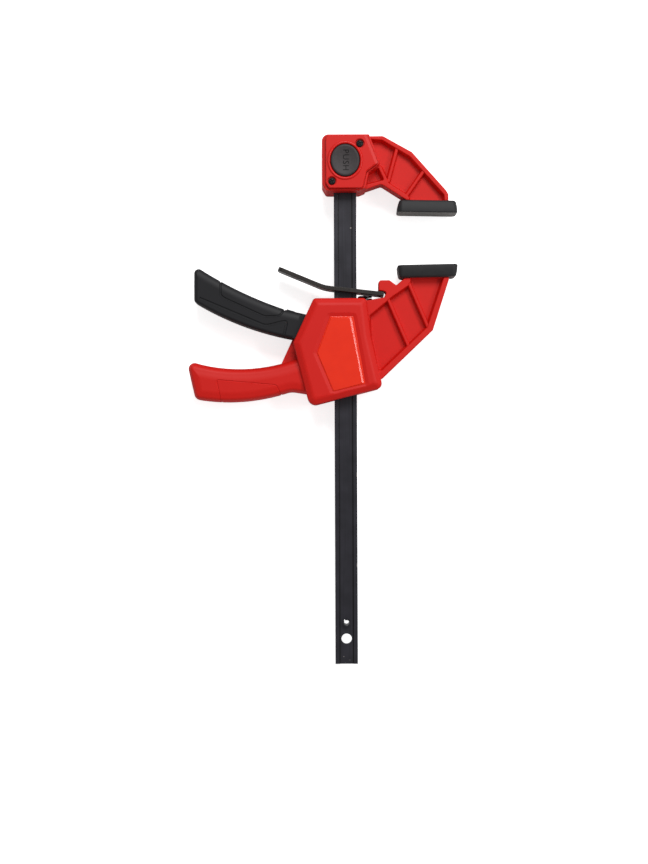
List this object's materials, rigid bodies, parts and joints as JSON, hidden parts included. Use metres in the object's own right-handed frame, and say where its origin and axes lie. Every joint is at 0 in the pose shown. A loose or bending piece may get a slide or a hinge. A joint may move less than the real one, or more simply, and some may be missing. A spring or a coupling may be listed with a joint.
{
  "type": "quick release bar clamp",
  "caption": "One-handed bar clamp: ribbed fixed jaw on a flat steel bar, sliding jaw with pump trigger, fixed handle and tilting release lever.",
  "frame": {"origin": "middle of the fixed pad's clamping face, half way through the clamp's thickness", "axes": "+Y along the bar towards the fixed jaw, +X from the bar to the pads, +Z out of the side that carries the push button; the clamp lies on its back, which faces -Z"},
  "size_m": [0.2036, 0.3995, 0.0356],
  "materials": {
    "bar_steel": "blackened steel bar",
    "plain_steel": "zinc plated steel",
    "plate_steel": "hardened steel plate",
    "black_steel": "blackened steel",
    "red_nylon": "moulded red nylon",
    "black_nylon": "moulded black nylon",
    "grey_plastic": "moulded dark grey plastic",
    "pad_rubber": "soft dark grey rubber",
    "label_gloss": "glossy orange-red plate, bare"
  },
  "bodies": {
    "bar_and_fixed_jaw": {"bar": "bar_steel", "stop_pin": "plain_steel", "fixed_jaw_frame": "red_nylon", "head_cover": "red_nylon", "head_cover_screws": "black_steel", "fixed_pad": "pad_rubber", "button_spring": "plain_steel"},
    "lock_button": {"push_button": "grey_plastic", "lock_pin": "plain_steel"},
    "moving_jaw": {"moving_jaw_frame": "red_nylon", "front_cover": "red_nylon", "rear_cover": "red_nylon", "cover_screws": "black_steel", "moving_pad": "pad_rubber", "label_plate": "label_gloss", "trigger_pin": "plain_steel", "brake_spring": "plain_steel", "drive_spring": "plain_steel"},
    "pump_trigger": {"trigger": "black_nylon"},
    "drive_plates": {"drive_plate_upper": "plate_steel", "drive_plate_lower": "plate_steel"},
    "brake_lever": {"release_lever": "black_steel"}
  },
  "joints": [
    {"name": "jaw_slide", "type": "slide", "parent": "bar_and_fixed_jaw", "child": "moving_jaw", "axis": [0, 1, 0], "range_m": [-0.1674, 0.0376]},
    {"name": "trigger_squeeze", "type": "hinge", "parent": "moving_jaw", "child": "pump_trigger", "pos_m": [-0.0506, -0.0811, 0], "axis": [0, 0, 1], "range_deg": [0, 14], "stiffness_Nm_per_rad": 0.32, "springref_deg": -22.92},
    {"name": "plates_feed", "type": "slide", "parent": "moving_jaw", "child": "drive_plates", "axis": [0, -1, 0], "range_m": [0, 0.004], "deforming": ["drive_spring"]},
    {"name": "lever_release", "type": "hinge", "parent": "moving_jaw", "child": "brake_lever", "pos_m": [-0.0345, -0.0609, 0], "axis": [0, 0, 1], "range_deg": [0, 6.6], "stiffness_Nm_per_rad": 0.16, "springref_deg": -22.92, "deforming": ["brake_spring"]},
    {"name": "button_press", "type": "slide", "parent": "bar_and_fixed_jaw", "child": "lock_button", "axis": [0, 0, -1], "range_m": [0, 0.004], "stiffness_N_per_m": 1000, "springref_m": -0.004, "deforming": ["button_spring"]}
  ],
  "couplings": [
    {"joint": "plates_feed", "follows": "trigger_squeeze", "m_per_rad": 0.01631}
  ]
}
